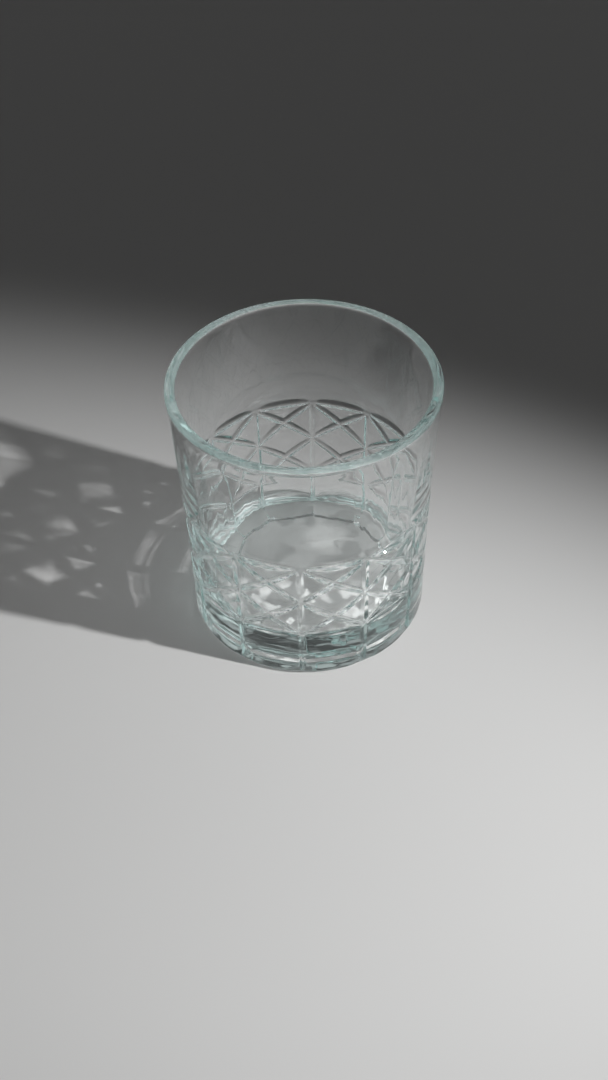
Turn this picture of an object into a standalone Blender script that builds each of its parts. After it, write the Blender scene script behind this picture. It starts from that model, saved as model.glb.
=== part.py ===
"""Rocks glass: a one-piece pressed tumbler with a cut lattice round its lower wall. Metres, +Z up."""
import math

import bmesh
import bpy
from mathutils import Vector

MM = 0.001

# Outer form. The wall is upright at the foot and flares towards the rim.
HEIGHT = 91.0 * MM
RIM_RADIUS = 42.0 * MM
FOOT_RADIUS = 39.4 * MM
FLARE_POWER = 2.3
HEEL_ROUND = 1.5 * MM

# Bore. The wall is thinnest at the rim and thickens towards the floor.
RIM_WALL = 3.3 * MM
FLOOR_WALL = 5.2 * MM
FLOOR_THICKNESS = 13.0 * MM
FLOOR_FILLET = 6.0 * MM

# Underside. A shallow hollow leaves a flat ring to stand on.
PUNT_RADIUS = 30.0 * MM
PUNT_DEPTH = 1.2 * MM
PUNT_SLOPE = 2.0 * MM

# Lattice of V cuts. Upright cuts run from the top row to the foot, diagonals cross between the rows,
# and a ring of cuts closes the lattice above and below.
PANELS = 12
LOWEST_ROW = 19.6 * MM
ROW_PITCH = 15.4 * MM
ROW_STEPS = 2
CUT_DEPTH = 0.9 * MM
CUT_HALF_WIDTH = 1.3 * MM
STAR_LAND = 2.4 * MM

# Mesh steps. A panel and a row share one count, so that the diagonals run from corner to corner.
CELLS = 8
LIP_STEPS = 6
HEEL_STEPS = 3
FILLET_STEPS = 6
BAND_STEPS = 4
UPPER_STEPS = 4
FLOOR_STEPS = 2

GLASS_COLOUR = (0.80, 0.90, 0.89, 1.0)
GLASS_ROUGHNESS = 0.03
SHARP_EDGE = math.radians(20.0)

COLUMNS = PANELS * CELLS
PANEL_ANGLE = 2.0 * math.pi / PANELS
TOP_ROW = LOWEST_ROW + ROW_STEPS * ROW_PITCH
LIP_ROUND = RIM_WALL / 2.0
LIP_HEIGHT = HEIGHT - LIP_ROUND


def wall_radius(z):
    """Radius of the uncut outer wall at a height."""
    return FOOT_RADIUS + (RIM_RADIUS - FOOT_RADIUS) * max(z / LIP_HEIGHT, 0.0) ** FLARE_POWER


def bore_line():
    """Foot and head of the straight bore wall, as (radius, height) points at the floor and the lip."""
    foot = Vector((wall_radius(FLOOR_THICKNESS) - FLOOR_WALL, FLOOR_THICKNESS))
    head = Vector((RIM_RADIUS - RIM_WALL, LIP_HEIGHT))
    return foot, head


def steps(first, last, count):
    """Evenly spaced numbers from just after first to last."""
    return [first + (last - first) * (i + 1) / count for i in range(count)]


def arc(centre, radius, first, last, count):
    """Points of an arc of the section, after its first point, with angles in radians from the radial."""
    return [
        (centre[0] + radius * math.cos(a), centre[1] + radius * math.sin(a))
        for a in steps(first, last, count)
    ]


def underside():
    """Section of the hollow underside, from the axis to the inner edge of the standing ring."""
    return [
        (0.0, PUNT_DEPTH),
        (PUNT_RADIUS - PUNT_SLOPE, PUNT_DEPTH),
        (PUNT_RADIUS, 0.0),
    ]


def outer_wall():
    """Section from the outer edge of the standing ring, round the heel and up the wall to the lip."""
    cell = ROW_PITCH / CELLS
    lattice_low = LOWEST_ROW - cell
    lattice_high = TOP_ROW + cell
    ring_edge = FOOT_RADIUS - HEEL_ROUND
    heel = [(ring_edge, 0.0)]
    heel += arc((ring_edge, HEEL_ROUND), HEEL_ROUND, -math.pi / 2.0, 0.0, HEEL_STEPS)
    heights = steps(HEEL_ROUND, lattice_low, BAND_STEPS)
    heights += steps(lattice_low, lattice_high, ROW_STEPS * CELLS + 2)
    heights += steps(lattice_high, LIP_HEIGHT, UPPER_STEPS)
    return heel + [(wall_radius(z), z) for z in heights]


def bore():
    """Section of the lip, the bore, the fillet at its foot and the floor to the axis."""
    foot, head = bore_line()
    lip = arc((RIM_RADIUS - LIP_ROUND, LIP_HEIGHT), LIP_ROUND, 0.0, math.pi, LIP_STEPS)
    lean = math.atan2(head.x - foot.x, head.y - foot.y)
    corner = math.pi / 2.0 + lean
    reach = FLOOR_FILLET / math.tan(corner / 2.0)
    centre = (foot.x - reach, foot.y + FLOOR_FILLET)
    start = foot + (head - foot).normalized() * reach
    wall = [tuple(start.lerp(head, 1.0 - t)) for t in steps(0.0, 1.0, UPPER_STEPS)]
    fillet = arc(centre, FLOOR_FILLET, -lean, -math.pi / 2.0, FILLET_STEPS)
    floor = [(r, FLOOR_THICKNESS) for r in steps(centre[0], 0.0, FLOOR_STEPS)]
    return lip + wall + fillet + floor


def off_line(value):
    """How far a number lies from the nearest whole number."""
    return abs(value - round(value))


def cut_depth(angle, z):
    """Depth of the lattice's cuts in the outer wall at an azimuth and a height."""
    if z > TOP_ROW + CUT_HALF_WIDTH:
        return 0.0
    across = angle / PANEL_ANGLE
    up = (z - LOWEST_ROW) / ROW_PITCH
    panel_width = wall_radius(z) * PANEL_ANGLE
    slant = panel_width * ROW_PITCH / math.hypot(panel_width, ROW_PITCH)
    beside = off_line(across) * panel_width
    low_ring = abs(z - LOWEST_ROW)
    high_ring = abs(z - TOP_ROW)
    gap = min(low_ring, high_ring)
    if z < TOP_ROW:
        gap = min(gap, beside)
    if LOWEST_ROW < z < TOP_ROW:
        gap = min(gap, off_line(across + up) * slant, off_line(across - up) * slant)
    to_star = math.hypot(beside, high_ring)
    share = min(to_star / STAR_LAND, 1.0)
    return CUT_DEPTH * max(1.0 - gap / CUT_HALF_WIDTH, 0.0) * share


def turned_blank(bm):
    """Spins the section round +Z and returns the vertices of the heel and the outer wall."""
    sections = [(underside(), False), (outer_wall(), True), (bore(), False)]
    cut_layer = bm.verts.layers.int.new("cut")
    previous = None
    for section, is_cut in sections:
        for radius, height in section:
            vert = bm.verts.new((radius, 0.0, height))
            vert[cut_layer] = int(is_cut)
            if previous:
                bm.edges.new((previous, vert))
            previous = vert
    bmesh.ops.spin(
        bm,
        geom=bm.verts[:] + bm.edges[:],
        axis=(0.0, 0.0, 1.0),
        cent=(0.0, 0.0, 0.0),
        angle=2.0 * math.pi,
        steps=COLUMNS,
        use_merge=True,
    )
    bmesh.ops.remove_doubles(bm, verts=bm.verts[:], dist=0.001 * MM)
    return [v for v in bm.verts if v[cut_layer]]


def cut_lattice(bm, wall):
    """Presses the cuts into the outer wall and creases each cell along the cut that crosses it."""
    depths = {}
    for vert in wall:
        angle = math.atan2(vert.co.x, -vert.co.y)
        depths[vert] = cut_depth(angle, vert.co.z)
    for vert, depth in depths.items():
        vert.co.xy *= 1.0 - depth / vert.co.xy.length
    for face in bm.faces[:]:
        corners = face.verts[:]
        if len(corners) != 4 or not all(v in depths for v in corners):
            continue
        a, b, c, d = (depths[v] for v in corners)
        first = 0 if a + c >= b + d else 1
        bmesh.utils.face_split(face, corners[first], corners[first + 2])


def glass_material():
    """Clear glass with a faint aqua tint."""
    material = bpy.data.materials.new("clear_glass")
    material.use_nodes = True
    shader = material.node_tree.nodes["Principled BSDF"]
    shader.inputs["Base Color"].default_value = GLASS_COLOUR
    shader.inputs["Roughness"].default_value = GLASS_ROUGHNESS
    shader.inputs["Metallic"].default_value = 0.0
    shader.inputs["Transmission Weight"].default_value = 1.0
    return material


def make_tumbler():
    """The whole glass, standing on the origin."""
    bm = bmesh.new()
    wall = turned_blank(bm)
    cut_lattice(bm, wall)
    bmesh.ops.recalc_face_normals(bm, faces=bm.faces[:])
    mesh = bpy.data.meshes.new("tumbler")
    bm.to_mesh(mesh)
    bm.free()
    mesh.shade_smooth()
    mesh.set_sharp_from_angle(angle=SHARP_EDGE)
    mesh.materials.append(glass_material())
    tumbler = bpy.data.objects.new("tumbler", mesh)
    bpy.context.scene.collection.objects.link(tumbler)


for old in list(bpy.data.objects):
    bpy.data.objects.remove(old)
make_tumbler()
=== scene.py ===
"""Rocks glass: the visual model of a pressed tumbler with a cut lattice, on a pale floor. Metres, +Z up."""
import math
import bpy
import numpy as np
from mathutils import Matrix, Vector


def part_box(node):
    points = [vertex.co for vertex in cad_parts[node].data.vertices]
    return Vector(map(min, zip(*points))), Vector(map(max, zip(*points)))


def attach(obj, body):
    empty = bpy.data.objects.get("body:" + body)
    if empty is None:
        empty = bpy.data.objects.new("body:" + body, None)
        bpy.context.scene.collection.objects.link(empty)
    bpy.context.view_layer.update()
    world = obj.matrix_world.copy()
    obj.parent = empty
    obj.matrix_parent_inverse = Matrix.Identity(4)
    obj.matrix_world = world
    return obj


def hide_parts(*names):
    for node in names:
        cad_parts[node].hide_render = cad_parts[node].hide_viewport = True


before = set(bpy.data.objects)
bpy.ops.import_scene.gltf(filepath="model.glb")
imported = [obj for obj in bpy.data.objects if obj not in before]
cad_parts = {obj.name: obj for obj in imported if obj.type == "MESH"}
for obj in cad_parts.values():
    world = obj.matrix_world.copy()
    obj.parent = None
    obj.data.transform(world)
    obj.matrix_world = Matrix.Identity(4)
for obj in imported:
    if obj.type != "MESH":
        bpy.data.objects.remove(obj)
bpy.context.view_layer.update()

MM = 0.001

# Outer form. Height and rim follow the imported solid.
TUMBLER_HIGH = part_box("tumbler")[1]
HEIGHT = TUMBLER_HIGH[2]
RIM_RADIUS = TUMBLER_HIGH[0]
FOOT_RADIUS = 39.4 * MM
FLARE_POWER = 2.3
HEEL_ROUND = 1.5 * MM

# Bore and lip. A lip of flatness 2 is a half circle, and a greater flatness levels its top.
RIM_WALL = 3.3 * MM
FLOOR_WALL = 5.2 * MM
FLOOR_THICKNESS = 13.0 * MM
FLOOR_FILLET = 6.0 * MM
LIP_FLATNESS = 3.2

# Underside: a shallow hollow with a many-sided edge, and short slots in the standing ring.
PUNT_RADIUS = 30.0 * MM
PUNT_DEPTH = 1.2 * MM
PUNT_SLOPE = 2.0 * MM
PUNT_FLATS = 0.9
SLOT_DEPTH = 0.4 * MM
SLOT_HALF = 0.9 * MM

# Lattice of round-bottomed cuts. Its rows are counted from the lowest ring of cuts.
PANELS = 12
LOWEST_ROW = 19.6 * MM
ROW_PITCH = 15.4 * MM
ROW_STEPS = 2

# Upright cuts. Their section is followed up to the limit, counted in half widths.
UPRIGHT_DEPTH = 0.5 * MM
UPRIGHT_HALF = 1.05 * MM
UPRIGHT_ROUND = 1.4
UPRIGHT_LIMIT = 2.0

# Ends of the upright cuts: notches and scallops at the foot, and lands at the top stars
NOTCH_DEPTH = 0.7 * MM
SCALLOP_DEPTH = 1.0 * MM
SCALLOP_REACH = 5.5 * MM
SCALLOP_POWER = 2
STAR_LAND = 2.2 * MM

# Rings and diagonals narrow like leaves. A stop is the share of the way to a star at which a cut ends.
DIAGONAL_DEPTH = 0.95 * MM
DIAGONAL_HALF = 1.4 * MM
DIAGONAL_ROUND = 2.0
DIAGONAL_TAPER = 2.2
DIAGONAL_END = 0.2
STAR_STOP = 1.0
TOP_STAR_STOP = 0.87
RING_DEPTH = 1.05 * MM
RING_HALF = 1.6 * MM
RING_ROUND = 2.0
RING_TAPER = 3.0
RING_STOP = 0.9
RING_END = 0.06

# How the cuts meet the wall and one another
CUT_SHOULDER = 0.1 * MM
CUT_JOIN = 6.0

# Waviness of the pressed wall: turns round the glass, depth, phase and drift per metre of height.
WALL_WAVES = (
    (7, 0.05 * MM, 0.4, 18.0),
    (13, 0.03 * MM, 2.1, -26.0),
    (23, 0.010 * MM, 4.0, 22.0),
    (41, 0.004 * MM, 1.3, -31.0),
)
BORE_PHASE = 1.7
WAVE_FADE = 8.0 * MM

# Mesh steps. Columns and rows crowd at the cuts, and facets are meshed from their edges inwards.
COLUMN_OFFSETS = [v * MM for v in (0.0, 0.35, 0.65, 0.85, 1.0, 1.12, 1.25, 1.6, 2.2)]
COLUMN_STEPS = 7
EDGE_OFFSETS = [v * MM for v in (0.2, 0.4, 0.6, 0.8, 0.98, 1.12, 1.27, 1.45, 1.7, 2.4)]
DIAGONAL_STEPS = 18
UPRIGHT_STEPS = 14
HEEL_STEPS = 6
BAND_STEPS = 9
UPPER_STEPS = 14
LIP_STEPS = 20
WALL_STEPS = 14
FILLET_STEPS = 12
FLOOR_STEPS = 4
PUNT_STEPS = 6
RING_STEPS = 3

# Reach of a normal's differences, and the grid on which wall vertices are shared, per panel and row
NORMAL_STEP = 0.06 * MM
PLACE_GRID = 100000

# Sizes that follow
PANEL_ANGLE = 2.0 * math.pi / PANELS
TOP_ROW = LOWEST_ROW + ROW_STEPS * ROW_PITCH
PANEL_WIDTH = FOOT_RADIUS * PANEL_ANGLE
RING_EDGE = FOOT_RADIUS - HEEL_ROUND
LIP_ROUND = RIM_WALL / 2.0
LIP_HEIGHT = HEIGHT - LIP_ROUND

# Glass. Streaks run down the plain upper wall, ripples round the base band and mottles along the lip.
GLASS_IOR = 1.52
GLASS_TINT = (0.25, 0.82, 0.77, 1.0)
GLASS_DENSITY = 3.3
GLASS_BOUNCES = 64
STREAK_SCALE = (300.0, 300.0, 24.0)
STREAK_RISE = (0.4, 0.72)
STREAK_HEIGHT = 0.015 * MM
STREAK_FADE = 14.0 * MM
MOTTLE_SCALE = 900.0
MOTTLE_STRETCH = (0.1, 0.1, 1.0)
MOTTLE_HEIGHT = 0.01 * MM
RIPPLE_SCALE = 260.0
RIPPLE_HEIGHT = 0.08 * MM
RIPPLE_FADE = 0.25 * ROW_PITCH
WORN_RISE = (0.45, 0.75)
WORN_ROUGHNESS = 0.02

# Stage floor, a hair below the glass
STAGE_HALF = 6.0
STAGE_GAP = 0.2 * MM
STAGE_COLOUR = (0.66, 0.66, 0.655, 1.0)
STAGE_ROUGHNESS = 0.6

# Camera, fitted to the photograph
LENS = 43.33
SENSOR_WIDTH = 36.0
CLIP_START = 0.01
PITCH = math.radians(45.28)
TURN = math.radians(4.13)
ROLL = math.radians(-1.63)
DISTANCE = 437.7 * MM
AIM = Vector((-1.28 * MM, 0.0, 22.51 * MM))

# Key lamp at the right, and the share of its light that the glass lets through
KEY_AZIMUTH = math.radians(74.0)
KEY_ELEVATION = math.radians(33.0)
KEY_REACH = 1.2
KEY_TARGET = Vector((-0.036, -0.085, 0.0))
KEY_RADIUS = 0.02
KEY_POWER = 66.0
THROUGH_POWER = 14.0
KEY_CONE = math.radians(22.3)
KEY_BLEND = 1.0

# Top lamp, with uneven light on the floor under the glass: wide patches, a soft middle and near glints
TOP_PLACE = Vector((0.0, 0.0, 1.0))
TOP_TARGET = Vector((0.0, 0.0, 0.0))
TOP_POWER = 7.2
TOP_CONE = math.radians(4.4)
TOP_BLEND = 0.2
TOP_RADIUS = 0.4 * MM
DAPPLE_SCALE = 150.0
DAPPLE_RISE = (0.3, 0.9)
DAPPLE_LEVELS = (0.1, 1.2)
DAPPLE_LEAN = 0.55
MIDDLE_PLACE = Vector((5.0 * MM, 20.0 * MM, 0.0))
MIDDLE_CORE = 3.0 * MM
MIDDLE_REACH = 10.0 * MM
MIDDLE_LEVEL = 1.7
GLINT_SCALE = 300.0
GLINT_RISE = (0.6, 0.7)
GLINT_NEAR = (-2.0 * MM, -6.0 * MM)
GLINT_LEVEL = 5.0

# Studio round the glass: a dim room with a pale side and an uneven ceiling
FILL_LEVEL = 0.055
DIM_LEVEL = 0.05
PALE_SIDE = Vector((0.93, -0.2, 0.3)).normalized()
PALE_RISE = (0.42, 0.95)
PALE_LEVEL = 1.25
CEILING_SCALE = 7.0
CEILING_RISE = (0.45, 0.65)
CEILING_LEVELS = (0.035, 0.3)
CEILING_START = (0.3, 0.6)

# Plain values for the shader nodes
WHITE = (1.0, 1.0, 1.0, 1.0)
FLATTEN = (1.0, 1.0, 0.0)
WHOLE = (0.0, 1.0)
NOISE_DETAIL = 1.0


def wall_radius(z):
    """Radius of the uncut outer wall at a height."""
    return FOOT_RADIUS + (RIM_RADIUS - FOOT_RADIUS) * np.maximum(z / LIP_HEIGHT, 0.0) ** FLARE_POWER


def wall_section(heights):
    """Section points of the uncut outer wall."""
    return [(float(wall_radius(z)), z) for z in heights]


def steps(first, last, count):
    """Evenly spaced numbers from just after first to last."""
    return [first + (last - first) * (i + 1) / count for i in range(count)]


def arc(centre, radius, first, last, count):
    """Points of an arc of the section, after its first point."""
    return [
        (centre[0] + radius * math.cos(a), centre[1] + radius * math.sin(a))
        for a in steps(first, last, count)
    ]


def lip_arc():
    """Points of the lip, from the outer wall to the bore, flatter on top than a half circle."""
    power = 2.0 / LIP_FLATNESS
    points = []
    for a in steps(0.0, math.pi, LIP_STEPS):
        out = math.copysign(abs(math.cos(a)) ** power, math.cos(a))
        rise = math.sin(a) ** power
        points.append((RIM_RADIUS - LIP_ROUND + LIP_ROUND * out, LIP_HEIGHT + LIP_ROUND * rise))
    return points


def lower_section():
    """Section from next to the axis, over the underside, the standing ring and the heel, to the lattice."""
    flat = [(r, PUNT_DEPTH) for r in steps(0.0, PUNT_RADIUS - PUNT_SLOPE, FLOOR_STEPS)]
    slope = []
    for t in steps(0.0, 1.0, PUNT_STEPS):
        ease = t * t * (3.0 - 2.0 * t)
        slope.append((PUNT_RADIUS - PUNT_SLOPE * (1.0 - t), PUNT_DEPTH * (1.0 - ease)))
    ring = [(r, 0.0) for r in steps(PUNT_RADIUS, RING_EDGE, RING_STEPS)]
    heel = arc((RING_EDGE, HEEL_ROUND), HEEL_ROUND, -math.pi / 2.0, 0.0, HEEL_STEPS)
    below_ring = [LOWEST_ROW - v for v in reversed(EDGE_OFFSETS)]
    heights = steps(HEEL_ROUND, below_ring[0], BAND_STEPS) + below_ring[1:]
    return flat + slope + ring + heel + wall_section(heights)


def upper_section():
    """Section from above the lattice, up the wall, over the lip and down the bore to next to the axis."""
    above_ring = [TOP_ROW + v for v in EDGE_OFFSETS]
    heights = above_ring + steps(above_ring[-1], LIP_HEIGHT, UPPER_STEPS)
    foot = Vector((float(wall_radius(FLOOR_THICKNESS)) - FLOOR_WALL, FLOOR_THICKNESS))
    head = Vector((RIM_RADIUS - RIM_WALL, LIP_HEIGHT))
    lean = math.atan2(head.x - foot.x, head.y - foot.y)
    corner = math.pi / 2.0 + lean
    reach = FLOOR_FILLET / math.tan(corner / 2.0)
    centre = (foot.x - reach, foot.y + FLOOR_FILLET)
    start = foot + (head - foot).normalized() * reach
    wall = [tuple(head.lerp(start, t)) for t in steps(0.0, 1.0, WALL_STEPS)]
    fillet = arc(centre, FLOOR_FILLET, -lean, -math.pi / 2.0, FILLET_STEPS)
    floor = [(r, FLOOR_THICKNESS) for r in steps(centre[0], 0.0, FLOOR_STEPS)[:-1]]
    return wall_section(heights) + lip_arc() + wall + fillet + floor


def off_line(value):
    """How far numbers lie from the nearest whole number."""
    return np.abs(value - np.round(value))


def share_of(value):
    """Numbers held between 0 and 1."""
    return np.clip(value, 0.0, 1.0)


def soft_floor(raw):
    """Numbers above zero, with narrow rounded shoulders where they meet it."""
    return 0.5 * (raw + np.sqrt(raw**2 + CUT_SHOULDER**2))


def leaf(depth, end, way, taper):
    """Depth of a cut that narrows from its middle to a share of its depth at the end of the way."""
    return depth * (1.0 - (1.0 - end) * share_of(way) ** taper)


def cut_depth(angle, z):
    """Depth of the lattice's cuts in the outer wall at azimuths and heights."""
    across = angle / PANEL_ANGLE
    up = (z - LOWEST_ROW) / ROW_PITCH
    panel_width = wall_radius(z) * PANEL_ANGLE
    beside = off_line(across) * panel_width
    above = np.maximum(z - TOP_ROW, 0.0)
    below = np.maximum(LOWEST_ROW - z, 0.0)
    to_foot = below / LOWEST_ROW

    land = share_of(np.hypot(beside, z - TOP_ROW) / STAR_LAND)
    upright_depth = (UPRIGHT_DEPTH + (NOTCH_DEPTH - UPRIGHT_DEPTH) * to_foot) * land
    upright_gap = np.minimum(np.hypot(beside, above) / UPRIGHT_HALF, UPRIGHT_LIMIT)

    ring_depth = leaf(RING_DEPTH, RING_END, 2.0 * off_line(across + 0.5) / RING_STOP, RING_TAPER)
    ring_gap = np.minimum(np.abs(z - LOWEST_ROW), np.abs(z - TOP_ROW)) / RING_HALF

    stop = np.where(up > ROW_STEPS - 0.5, TOP_STAR_STOP, STAR_STOP)
    diagonal_depth = leaf(DIAGONAL_DEPTH, DIAGONAL_END, 2.0 * off_line(up + 0.5) / stop, DIAGONAL_TAPER)
    slant = panel_width * ROW_PITCH / np.hypot(panel_width, ROW_PITCH)
    sideways = np.minimum(off_line(across + up), off_line(across - up)) * slant
    diagonal_gap = np.hypot(sideways, above + below) / DIAGONAL_HALF

    cuts = [
        soft_floor(upright_depth * (1.0 - upright_gap**UPRIGHT_ROUND)),
        soft_floor(ring_depth - RING_DEPTH * ring_gap**RING_ROUND),
        soft_floor(diagonal_depth - DIAGONAL_DEPTH * diagonal_gap**DIAGONAL_ROUND),
    ]
    joined = sum(c**CUT_JOIN for c in cuts) ** (1.0 / CUT_JOIN)
    return joined + SCALLOP_DEPTH * (share_of(1.0 - beside / SCALLOP_REACH) * to_foot) ** SCALLOP_POWER


def waves(angle, z, phase):
    """Slight waves of a pressed wall, which fade out at the lip."""
    fade = share_of((LIP_HEIGHT - z) / WAVE_FADE)
    return fade * sum(d * np.sin(n * angle + p + phase * n + q * z) for n, d, p, q in WALL_WAVES)


def turned(radius, angle, z):
    """Points at radii, azimuths from -Y and heights."""
    return np.stack([radius * np.sin(angle), -radius * np.cos(angle), z + 0.0 * angle], axis=-1)


def wall_point(angle, z):
    """Points of the cut outer wall."""
    wave = waves(angle, z, 0.0) * share_of(z / WAVE_FADE)
    return turned(wall_radius(z) - cut_depth(angle, z) - wave, angle, z)


def wall_normals(angle, z):
    """Exact normals of the cut outer wall, so that they don't depend on the mesh."""
    turn = NORMAL_STEP / FOOT_RADIUS
    along = wall_point(angle + turn, z) - wall_point(angle - turn, z)
    up = wall_point(angle, z + NORMAL_STEP) - wall_point(angle, z - NORMAL_STEP)
    normal = np.cross(along, up)
    return normal / np.linalg.norm(normal, axis=-1, keepdims=True)


def bent_rows(section, angle):
    """Points of a section at each column, with the heel's cuts, the bore's waves and the underside."""
    radius = np.array([p[0] for p in section])[None, :]
    z = np.array([p[1] for p in section])[None, :]
    a = angle[:, None]
    heel_share = share_of((radius - PUNT_RADIUS) / (RING_EDGE - PUNT_RADIUS)) * (z < HEEL_ROUND)
    bore_share = share_of((z - FLOOR_THICKNESS) / WAVE_FADE)
    under = (z <= PUNT_DEPTH) * (radius < RING_EDGE + 0.5 * HEEL_ROUND) * (1.0 - heel_share)
    from_middle = off_line(a / PANEL_ANGLE + 0.5) * PANEL_ANGLE
    flattening = math.cos(PANEL_ANGLE / 4.0) / np.cos(from_middle) - 1.0
    bent = radius - cut_depth(a, z) * heel_share - waves(a, z, BORE_PHASE) * bore_share
    bent = bent * (1.0 + under * PUNT_FLATS * flattening)
    beside = off_line(a / PANEL_ANGLE) * PANEL_ANGLE * radius
    slot = SLOT_DEPTH * share_of(1.0 - (beside / SLOT_HALF) ** 2)
    return turned(bent, a, z + slot * under * share_of((PUNT_DEPTH - z) / PUNT_DEPTH))


def eased(count):
    """Shares of an edge from 0 to 1 that crowd a little towards both ends."""
    share = np.linspace(0.0, 1.0, count + 1)
    return 0.5 * share + 0.25 * (1.0 - np.cos(math.pi * share))


def panel_shares():
    """Shares of a panel's width at its columns, which crowd at the upright cuts."""
    half = COLUMN_OFFSETS + steps(COLUMN_OFFSETS[-1], PANEL_WIDTH / 2.0, COLUMN_STEPS)
    half = [v / PANEL_WIDTH for v in half]
    return np.array(half + [1.0 - v for v in reversed(half[:-1])])


class GlassMesh:
    """Collects vertices by their place in the lattice, and faces."""

    def __init__(self):
        self.places = []
        self.wall = {}
        self.faces = []

    def wall_vertex(self, across, up):
        """Vertex of the outer wall, shared by all that ask for the same place."""
        key = (round(across * PLACE_GRID) % (PANELS * PLACE_GRID), round(up * PLACE_GRID))
        if key not in self.wall:
            self.wall[key] = len(self.places)
            self.places.append((across * PANEL_ANGLE, LOWEST_ROW + up * ROW_PITCH, None))
        return self.wall[key]

    def point(self, place):
        """Vertex at a fixed place."""
        self.places.append((0.0, 0.0, tuple(place)))
        return len(self.places) - 1

    def facet(self, first, second, node, base_shares):
        """One triangle of the lattice between two stars and a node, as (across, up) places."""
        scale = np.array([PANEL_WIDTH, ROW_PITCH])
        a, b, x = (np.array(v, float) for v in (first, second, node))
        legs = eased(DIAGONAL_STEPS)[1:]
        loop = [a + (b - a) * t for t in base_shares[:-1]]
        loop += [b] + [b + (x - b) * t for t in legs]
        loop += [a + (x - a) * t for t in reversed(legs[:-1])]
        sides = [np.linalg.norm((p - q) * scale) for p, q in ((b, x), (x, a), (a, b))]
        centre = (a * sides[0] + b * sides[1] + x * sides[2]) / sum(sides)
        base, leg = (b - a) * scale, (x - a) * scale
        inner = abs(base[0] * leg[1] - base[1] * leg[0]) / sum(sides)
        outer = [self.wall_vertex(*p) for p in loop]
        for offset in EDGE_OFFSETS:
            ring = [self.wall_vertex(*(p + (centre - p) * offset / inner)) for p in loop]
            self.strip([outer, ring])
            outer = ring
        self.fan(outer, self.wall_vertex(*centre))

    def strip(self, rows):
        """Faces between closed rows of vertices, from the first row to the last."""
        for low, high in zip(rows, rows[1:]):
            count = len(low)
            for i in range(count):
                n = (i + 1) % count
                self.faces.append((low[i], low[n], high[n], high[i]))

    def fan(self, row, pole):
        """Faces from a closed row of vertices to one vertex."""
        count = len(row)
        for i in range(count):
            self.faces.append((row[i], row[(i + 1) % count], pole))


def build_lattice(build):
    """The facets of the lattice, panel by panel and row by row."""
    across_shares = panel_shares()
    up_shares = eased(UPRIGHT_STEPS)
    for p in range(PANELS):
        for q in range(ROW_STEPS):
            node = (p + 0.5, q + 0.5)
            build.facet((p, q), (p + 1, q), node, across_shares)
            build.facet((p + 1, q), (p + 1, q + 1), node, up_shares)
            build.facet((p + 1, q + 1), (p, q + 1), node, across_shares)
            build.facet((p, q + 1), (p, q), node, up_shares)


def section_rows(build, section, columns):
    """Rows of vertices round the glass for a section, with the outer wall's own rows cut by the lattice."""
    fixed = bent_rows(section, columns * PANEL_ANGLE)
    rows = []
    for k, (radius, z) in enumerate(section):
        on_wall = abs(radius - wall_radius(z)) < NORMAL_STEP and HEEL_ROUND < z < LIP_HEIGHT
        up = (z - LOWEST_ROW) / ROW_PITCH
        if on_wall:
            rows.append([build.wall_vertex(c, up) for c in columns])
        else:
            rows.append([build.point(v) for v in fixed[:, k]])
    return rows


def tumbler_mesh():
    """Mesh of the whole glass."""
    build = GlassMesh()
    columns = np.concatenate([p + panel_shares()[:-1] for p in range(PANELS)])
    build_lattice(build)
    lower = section_rows(build, lower_section(), columns)
    lower.append([build.wall_vertex(c, 0.0) for c in columns])
    upper = section_rows(build, upper_section(), columns)
    upper.insert(0, [build.wall_vertex(c, float(ROW_STEPS)) for c in columns])
    build.strip(lower)
    build.strip(upper)
    build.fan(lower[0][::-1], build.point((0.0, 0.0, PUNT_DEPTH)))
    build.fan(upper[-1], build.point((0.0, 0.0, FLOOR_THICKNESS)))
    on_wall = np.array([v[2] is None for v in build.places])
    angle = np.array([v[0] for v in build.places])[on_wall]
    z = np.array([v[1] for v in build.places])[on_wall]
    points = np.array([v[2] or (0.0, 0.0, 0.0) for v in build.places])
    points[on_wall] = wall_point(angle, z)
    mesh = bpy.data.meshes.new("tumbler_glass")
    mesh.from_pydata(points.tolist(), [], build.faces)
    mesh.validate()
    mesh.shade_smooth()
    smooth = np.empty(len(points) * 3, np.float32)
    mesh.vertex_normals.foreach_get("vector", smooth)
    normals = smooth.reshape(-1, 3).astype(float)
    normals[on_wall] = wall_normals(angle, z)
    mesh.normals_split_custom_set_from_vertices(normals.tolist())
    return mesh


def feed(tree, socket, value):
    """Links a socket to another node's socket, or else sets its own value."""
    if isinstance(value, bpy.types.NodeSocket):
        tree.links.new(value, socket)
    else:
        socket.default_value = value


def add_node(tree, kind, inputs=None, **settings):
    """New shader node, with its settings and with its inputs by name or number."""
    node = tree.nodes.new("ShaderNode" + kind)
    for name, value in settings.items():
        setattr(node, name, value)
    for name, value in (inputs or {}).items():
        feed(tree, node.inputs[name], value)
    return node


def map_range(tree, value, source, target=WHOLE, smooth=False):
    """Socket that brings a value from a source range to a target range, whose ends may be sockets."""
    names = ("Value", "From Min", "From Max", "To Min", "To Max")
    kind = "SMOOTHSTEP" if smooth else "LINEAR"
    inputs = dict(zip(names, (value, *source, *target)))
    return add_node(tree, "MapRange", inputs, interpolation_type=kind).outputs["Result"]


def combine(tree, operation, first, second):
    """Socket of a sum, product or maximum of two numbers."""
    return add_node(tree, "Math", {0: first, 1: second}, operation=operation).outputs["Value"]


def scaled(tree, place, scale):
    """Socket of a place that is scaled along each axis."""
    return add_node(tree, "VectorMath", {0: place, 1: scale}, operation="MULTIPLY").outputs["Vector"]


def noise(tree, place, scale, detail=NOISE_DETAIL):
    """Socket of soft noise."""
    inputs = {"Vector": place, "Scale": scale, "Detail": detail}
    return add_node(tree, "TexNoise", inputs).outputs["Fac"]


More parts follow.
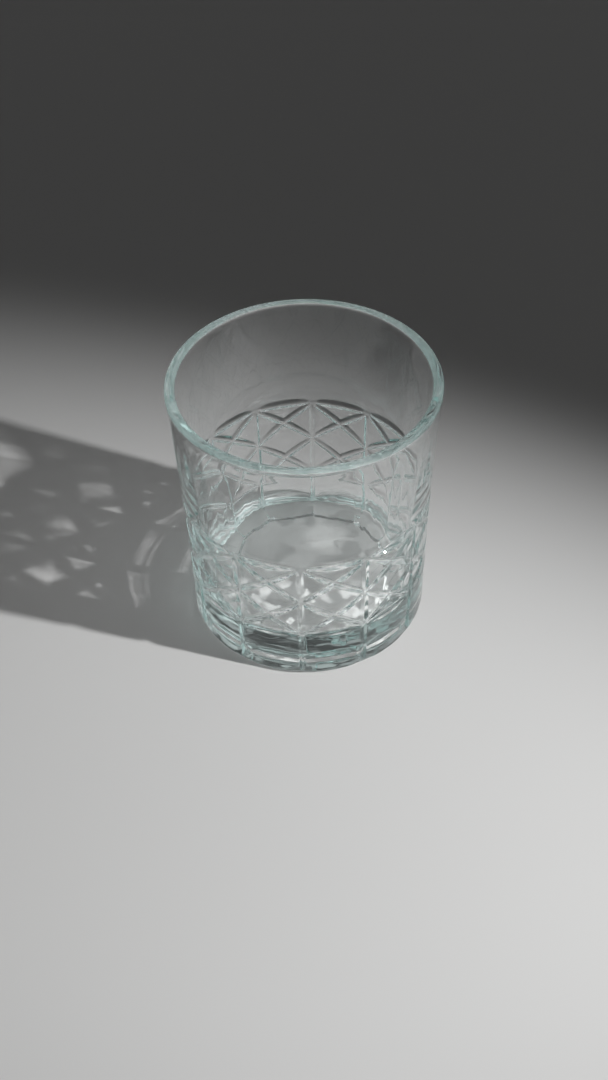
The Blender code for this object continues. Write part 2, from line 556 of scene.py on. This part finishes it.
def cells(tree, place, scale):
    """Socket of cells with a colour each."""
    return add_node(tree, "TexVoronoi", {"Vector": place, "Scale": scale}).outputs["Color"]


def glass_material():
    """Clear glass with a faint aqua tint, flow streaks, a rippled base band and an uneven lip."""
    material = bpy.data.materials.new("clear_glass")
    material.use_nodes = True
    tree = material.node_tree
    shader = tree.nodes["Principled BSDF"]
    shader.inputs["Base Color"].default_value = WHITE
    shader.inputs["IOR"].default_value = GLASS_IOR
    shader.inputs["Transmission Weight"].default_value = 1.0
    absorb = add_node(tree, "VolumeAbsorption", {"Color": GLASS_TINT, "Density": GLASS_DENSITY})
    tree.links.new(absorb.outputs["Volume"], tree.nodes["Material Output"].inputs["Volume"])
    place = add_node(tree, "TexCoord").outputs["Object"]
    height = add_node(tree, "SeparateXYZ", {"Vector": place}).outputs["Z"]
    level_place = scaled(tree, place, FLATTEN)
    radius = add_node(tree, "VectorMath", {0: level_place}, operation="LENGTH").outputs["Value"]

    streaks = noise(tree, scaled(tree, place, STREAK_SCALE), 1.0)
    lines = map_range(tree, streaks, STREAK_RISE, smooth=True)
    below_lip = map_range(tree, height, (LIP_HEIGHT - 0.5 * STREAK_FADE, LIP_HEIGHT - STREAK_FADE))
    on_upper = map_range(tree, height, (TOP_ROW, TOP_ROW + ROW_PITCH), (0.0, below_lip))

    ripple = noise(tree, place, RIPPLE_SCALE, detail=0.0)
    outside = map_range(tree, radius, (RING_EDGE - HEEL_ROUND, RING_EDGE))
    on_band = map_range(tree, height, (LOWEST_ROW + RIPPLE_FADE, LOWEST_ROW), (0.0, outside))

    along_lip = scaled(tree, place, MOTTLE_STRETCH)
    inputs = {"Vector": along_lip, "W": radius, "Scale": MOTTLE_SCALE, "Detail": NOISE_DETAIL}
    mottle = add_node(tree, "TexNoise", inputs, noise_dimensions="4D").outputs["Fac"]
    on_lip = map_range(tree, height, (LIP_HEIGHT - 2.0 * LIP_ROUND, LIP_HEIGHT))

    bumps = (
        (lines, on_upper, STREAK_HEIGHT),
        (ripple, on_band, RIPPLE_HEIGHT),
        (mottle, on_lip, MOTTLE_HEIGHT),
    )
    normal = {}
    for relief, strength, distance in bumps:
        inputs = {"Strength": strength, "Distance": distance, "Height": relief, **normal}
        normal = {"Normal": add_node(tree, "Bump", inputs).outputs["Normal"]}
    tree.links.new(normal["Normal"], shader.inputs["Normal"])
    wear = map_range(tree, streaks, WORN_RISE, (0.0, WORN_ROUGHNESS))
    tree.links.new(wear, shader.inputs["Roughness"])
    return material


def make_tumbler():
    """The glass itself."""
    tumbler = bpy.data.objects.new("tumbler_glass", tumbler_mesh())
    bpy.context.scene.collection.objects.link(tumbler)
    tumbler.data.materials.append(glass_material())
    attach(tumbler, "root")
    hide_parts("tumbler")
    tumbler.cycles.is_caustics_caster = True
    return tumbler


def make_floor():
    """Plain pale floor."""
    mesh = bpy.data.meshes.new("floor")
    sides = ((-1.0, -1.0), (1.0, -1.0), (1.0, 1.0), (-1.0, 1.0))
    corners = [(x * STAGE_HALF, y * STAGE_HALF, -STAGE_GAP) for x, y in sides]
    mesh.from_pydata(corners, [], [(0, 1, 2, 3)])
    material = bpy.data.materials.new("floor")
    material.use_nodes = True
    shader = material.node_tree.nodes["Principled BSDF"]
    shader.inputs["Base Color"].default_value = STAGE_COLOUR
    shader.inputs["Roughness"].default_value = STAGE_ROUGHNESS
    mesh.materials.append(material)
    floor = bpy.data.objects.new("floor", mesh)
    bpy.context.scene.collection.objects.link(floor)
    floor.cycles.is_caustics_receiver = True


def make_spot(name, place, target, power, radius, cone, blend):
    """Lamp with a soft-edged beam from a place to a target."""
    lamp = bpy.data.lights.new(name, "SPOT")
    lamp.energy = power
    lamp.shadow_soft_size = radius
    lamp.spot_size = cone
    lamp.spot_blend = blend
    holder = bpy.data.objects.new(name, lamp)
    bpy.context.scene.collection.objects.link(holder)
    aim = (target - place).to_track_quat("-Z", "Y").to_matrix().to_4x4()
    holder.matrix_world = Matrix.Translation(place) @ aim
    return holder


def let_through(holder, glass):
    """Lets a lamp's light pass the glass, for the part that clear glass passes on to the floor."""
    passed = bpy.data.collections.new("passed_by_" + holder.name)
    passed.objects.link(glass)
    passed.collection_objects[0].light_linking.link_state = "EXCLUDE"
    holder.light_linking.blocker_collection = passed
    holder.data.cycles.use_multiple_importance_sampling = False
    holder.visible_glossy = False
    holder.visible_transmission = False


def dapple(lamp):
    """Uneven light, as the cuts of the glass gather it on the floor under them."""
    lamp.use_nodes = True
    tree = lamp.node_tree
    place = add_node(tree, "TexCoord").outputs["Normal"]
    axes = add_node(tree, "SeparateXYZ", {"Vector": place}).outputs
    patches = map_range(tree, cells(tree, place, DAPPLE_SCALE), DAPPLE_RISE, DAPPLE_LEVELS, smooth=True)
    near = map_range(tree, axes["Y"], GLINT_NEAR, (0.0, GLINT_LEVEL))
    glints = map_range(tree, cells(tree, place, GLINT_SCALE), GLINT_RISE, (0.0, near), smooth=True)
    inputs = {0: scaled(tree, place, FLATTEN), 1: MIDDLE_PLACE}
    away = add_node(tree, "VectorMath", inputs, operation="DISTANCE").outputs["Value"]
    middle = map_range(tree, away, (MIDDLE_CORE, MIDDLE_REACH), (MIDDLE_LEVEL, 0.0), smooth=True)
    light = combine(tree, "ADD", combine(tree, "ADD", patches, middle), glints)
    leans = (1.0 - DAPPLE_LEAN, 1.0 + DAPPLE_LEAN)
    lean = map_range(tree, axes["X"], (-FOOT_RADIUS, FOOT_RADIUS), leans)
    tree.links.new(combine(tree, "MULTIPLY", light, lean), tree.nodes["Emission"].inputs["Strength"])


def make_lamps(glass):
    """Key from the right, which leaves the floor behind the glass dim, its passed share and a top light."""
    level = math.cos(KEY_ELEVATION)
    rise = math.sin(KEY_ELEVATION)
    towards = Vector((math.sin(KEY_AZIMUTH) * level, -math.cos(KEY_AZIMUTH) * level, rise))
    beam = (KEY_REACH * towards, KEY_TARGET)
    shape = (KEY_RADIUS, KEY_CONE, KEY_BLEND)
    key = make_spot("key", *beam, KEY_POWER, *shape)
    key.data.cycles.is_caustics_light = True
    let_through(make_spot("through", *beam, THROUGH_POWER, *shape), glass)
    top = make_spot("top", TOP_PLACE, TOP_TARGET, TOP_POWER, TOP_RADIUS, TOP_CONE, TOP_BLEND)
    let_through(top, glass)
    dapple(top.data)


def make_world():
    """A dim studio. The glass also sees its pale side and its ceiling, and the floor gets a low fill."""
    world = bpy.data.worlds.new("studio")
    world.use_nodes = True
    tree = world.node_tree
    back = tree.nodes["Background"]
    back.inputs["Color"].default_value = WHITE
    ray = add_node(tree, "TexCoord").outputs["Generated"]
    upwards = add_node(tree, "SeparateXYZ", {"Vector": ray}).outputs["Z"]
    towards = add_node(tree, "VectorMath", {0: ray, 1: PALE_SIDE}, operation="DOT_PRODUCT").outputs["Value"]
    uneven = noise(tree, ray, CEILING_SCALE)
    ceiling = map_range(tree, uneven, CEILING_RISE, CEILING_LEVELS, smooth=True)
    room = map_range(tree, upwards, CEILING_START, (DIM_LEVEL, ceiling))
    studio = map_range(tree, towards, PALE_RISE, (room, PALE_LEVEL), smooth=True)
    path = add_node(tree, "LightPath").outputs
    by_glass = combine(tree, "MAXIMUM", path["Is Glossy Ray"], path["Is Transmission Ray"])
    lit = map_range(tree, by_glass, WHOLE, (FILL_LEVEL, studio))
    level = map_range(tree, path["Is Camera Ray"], WHOLE, (lit, DIM_LEVEL))
    tree.links.new(level, back.inputs["Strength"])
    bpy.context.scene.world = world


def make_camera():
    """Camera at the photograph's viewing angle."""
    forward = Vector((0.0, math.cos(PITCH), -math.sin(PITCH)))
    right = Vector((1.0, 0.0, 0.0))
    up = Vector((0.0, math.sin(PITCH), math.cos(PITCH)))
    side = right * math.cos(ROLL) + up * math.sin(ROLL)
    top = up * math.cos(ROLL) - right * math.sin(ROLL)
    axes = Matrix((side, top, -forward)).transposed().to_4x4()
    lens = bpy.data.cameras.new("camera")
    lens.lens = LENS
    lens.sensor_width = SENSOR_WIDTH
    lens.clip_start = CLIP_START
    camera = bpy.data.objects.new("camera", lens)
    bpy.context.scene.collection.objects.link(camera)
    place = Matrix.Translation(AIM - forward * DISTANCE) @ axes
    camera.matrix_world = Matrix.Rotation(TURN, 4, "Z") @ place
    bpy.context.scene.camera = camera


glass = make_tumbler()
make_floor()
make_lamps(glass)
make_world()
make_camera()
scene = bpy.context.scene
scene.view_settings.view_transform = "Standard"
scene.cycles.max_bounces = GLASS_BOUNCES
scene.cycles.glossy_bounces = GLASS_BOUNCES
scene.cycles.transmission_bounces = GLASS_BOUNCES
